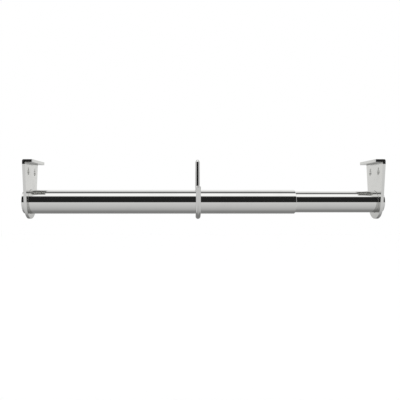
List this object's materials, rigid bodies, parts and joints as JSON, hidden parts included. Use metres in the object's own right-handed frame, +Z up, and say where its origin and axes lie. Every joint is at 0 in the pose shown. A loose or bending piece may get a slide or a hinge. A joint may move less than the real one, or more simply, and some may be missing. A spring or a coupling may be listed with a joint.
{
  "type": "telescopic closet rod",
  "caption": "Chromed telescopic closet rod with an inner tube that slides in an outer tube, flanged keyhole brackets that turn on its ends, and a wire hook that supports its middle.",
  "frame": {"origin": "on the left plate's outer face, midway between its two keyholes", "axes": "+X along the rod from the left bracket to the right one, +Z up, +Y away from the viewer of the picture"},
  "size_m": [0.4229, 0.049, 0.0718],
  "materials": {
    "chrome_plate": "polished chrome plating on steel",
    "glide_plastic": "moulded dark grey plastic"
  },
  "bodies": {
    "left_bracket": {"left_bracket": "chrome_plate"},
    "outer_rod": {"outer_tube": "chrome_plate", "left_end_plug": "chrome_plate"},
    "inner_rod": {"inner_tube": "chrome_plate", "inner_glide": "glide_plastic", "right_end_plug": "chrome_plate"},
    "right_bracket": {"right_bracket": "chrome_plate"},
    "support_hook": {"support_hook": "chrome_plate"}
  },
  "joints": [
    {"name": "rod_turn", "type": "hinge", "parent": "left_bracket", "child": "outer_rod", "pos_m": [0.0017, 0, -0.0344], "axis": [1, 0, 0], "continuous": true},
    {"name": "rod_extend", "type": "slide", "parent": "outer_rod", "child": "inner_rod", "axis": [1, 0, 0], "range_m": [-0.093, 0.145]},
    {"name": "right_bracket_turn", "type": "hinge", "parent": "inner_rod", "child": "right_bracket", "pos_m": [0.412, 0, -0.0344], "axis": [1, 0, 0], "continuous": true},
    {"name": "hook_slide", "type": "slide", "parent": "outer_rod", "child": "support_hook", "axis": [1, 0, 0], "range_m": [-0.18, 0.1]}
  ]
}
